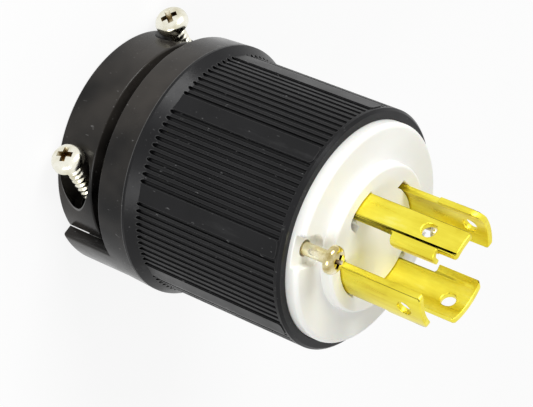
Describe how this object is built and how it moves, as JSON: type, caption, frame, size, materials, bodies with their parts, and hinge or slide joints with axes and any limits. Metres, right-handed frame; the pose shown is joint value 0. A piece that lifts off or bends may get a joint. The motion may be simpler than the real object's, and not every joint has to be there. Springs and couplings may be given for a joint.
{
  "type": "locking power plug",
  "caption": "Round twist-lock power plug with ribbed black grip, white face, curved locking blades and a rear cord clamp opened for wiring.",
  "frame": {"origin": "on the plug's axis at the rear end of the cord clamp, where the cord leaves", "axes": "+Z along the plug towards the blades, +Y the way the clamp saddle opens, +X completes a right-handed frame through the two clamp screws"},
  "size_m": [0.061, 0.061, 0.0973],
  "materials": {
    "black_nylon": "satin moulded nylon with fine ribs",
    "black_nylon_smooth": "smooth satin moulded nylon",
    "inner_nylon": "matt moulded nylon",
    "white_nylon": "smooth white moulded nylon",
    "blade_brass": "stamped yellow brass, slightly uneven",
    "plate_brass": "stamped brass",
    "plated_steel": "bright pale yellow plated steel",
    "green_screw": "green plated steel",
    "silver_screw": "bright plated steel",
    "brass_screw": "bright brass plated steel"
  },
  "bodies": {
    "root": {"housing": "black_nylon", "clamp_body": "black_nylon_smooth", "clamp_saddle": "black_nylon_smooth", "clamp_screw_left": "plated_steel", "clamp_screw_right": "plated_steel", "front_face": "white_nylon", "terminal_block": "inner_nylon", "blade_ground": "blade_brass", "blade_hot_x": "blade_brass", "blade_neutral": "blade_brass", "blade_hot_y": "blade_brass", "wire_plate_ground": "plate_brass", "wire_plate_hot_x": "plate_brass", "wire_plate_neutral": "plate_brass", "wire_plate_hot_y": "plate_brass", "terminal_screw_ground": "green_screw", "terminal_screw_hot_x": "brass_screw", "terminal_screw_neutral": "silver_screw", "terminal_screw_hot_y": "brass_screw", "assembly_screw_a": "plated_steel", "assembly_screw_b": "plated_steel"}
  },
  "joints": []
}
